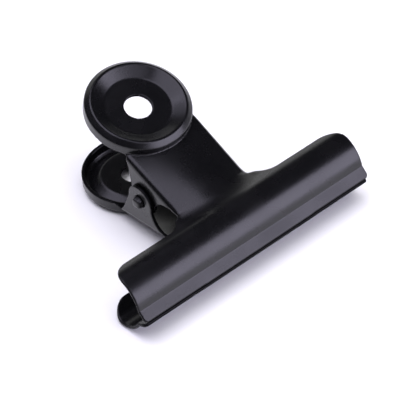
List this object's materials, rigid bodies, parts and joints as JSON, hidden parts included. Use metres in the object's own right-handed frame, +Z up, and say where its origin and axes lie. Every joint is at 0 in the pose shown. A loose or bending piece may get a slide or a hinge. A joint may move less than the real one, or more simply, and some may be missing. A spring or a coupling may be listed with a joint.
{
  "type": "bulldog clip",
  "caption": "Spring bulldog clip of pressed steel: two arched jaws with round holed thumb pads, pinned together and closed by a torsion spring.",
  "frame": {"origin": "centre of the footprint, on the surface that the closed clip lies on", "axes": "+X along the jaw's width, +Y from the mouth towards the thumb pads, +Z up"},
  "size_m": [0.0762, 0.0646, 0.0346],
  "materials": {
    "black_paint": "satin black baked enamel on pressed steel sheet",
    "pin_black": "black enamel over a steel pin, worn on the upset ends",
    "spring_steel": "oiled spring wire"
  },
  "bodies": {
    "lower_body": {"lower_jaw": "black_paint", "hinge_pin": "pin_black", "torsion_spring": "spring_steel"},
    "upper_body": {"upper_jaw": "black_paint"}
  },
  "joints": [
    {"name": "jaw_hinge", "type": "hinge", "parent": "lower_body", "child": "upper_body", "pos_m": [0, -0.0007, 0.01262], "axis": [-1, 0, 0], "range_deg": [0, 42], "stiffness_Nm_per_rad": 0.34, "springref_deg": -57.3, "deforming": ["torsion_spring"]}
  ]
}
